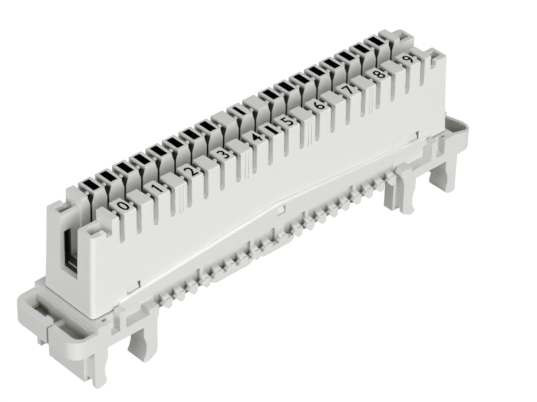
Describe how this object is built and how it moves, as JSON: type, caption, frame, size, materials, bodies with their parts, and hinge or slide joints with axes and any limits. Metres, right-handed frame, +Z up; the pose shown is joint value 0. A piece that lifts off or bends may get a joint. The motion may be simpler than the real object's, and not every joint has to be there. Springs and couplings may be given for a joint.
{
  "type": "punch down wiring block",
  "caption": "Long narrow wiring block with two rows of toothed contact slots, wire combs along both sides, end loops and clamp legs that snap onto two round bars.",
  "frame": {"origin": "centre of the footprint at the level of the clamp leg tips", "axes": "+X along the rows of slots, +Y from the numbered row to the rear row, +Z up through the slots"},
  "size_m": [0.124, 0.0218, 0.0407],
  "materials": {
    "housing_plastic": "satin moulded",
    "contact_metal": "tin plated"
  },
  "bodies": {
    "root": {"upper_housing": "housing_plastic", "base_housing": "housing_plastic", "contact_front_01": "contact_metal", "contact_front_02": "contact_metal", "contact_front_03": "contact_metal", "contact_front_04": "contact_metal", "contact_front_05": "contact_metal", "contact_front_06": "contact_metal", "contact_front_07": "contact_metal", "contact_front_08": "contact_metal", "contact_front_09": "contact_metal", "contact_front_10": "contact_metal", "contact_front_11": "contact_metal", "contact_front_12": "contact_metal", "contact_front_13": "contact_metal", "contact_front_14": "contact_metal", "contact_front_15": "contact_metal", "contact_front_16": "contact_metal", "contact_front_17": "contact_metal", "contact_front_18": "contact_metal", "contact_front_19": "contact_metal", "contact_front_20": "contact_metal", "contact_rear_01": "contact_metal", "contact_rear_02": "contact_metal", "contact_rear_03": "contact_metal", "contact_rear_04": "contact_metal", "contact_rear_05": "contact_metal", "contact_rear_06": "contact_metal", "contact_rear_07": "contact_metal", "contact_rear_08": "contact_metal", "contact_rear_09": "contact_metal", "contact_rear_10": "contact_metal", "contact_rear_11": "contact_metal", "contact_rear_12": "contact_metal", "contact_rear_13": "contact_metal", "contact_rear_14": "contact_metal", "contact_rear_15": "contact_metal", "contact_rear_16": "contact_metal", "contact_rear_17": "contact_metal", "contact_rear_18": "contact_metal", "contact_rear_19": "contact_metal", "contact_rear_20": "contact_metal", "earth_contact_left": "contact_metal", "earth_contact_right": "contact_metal"}
  },
  "joints": []
}
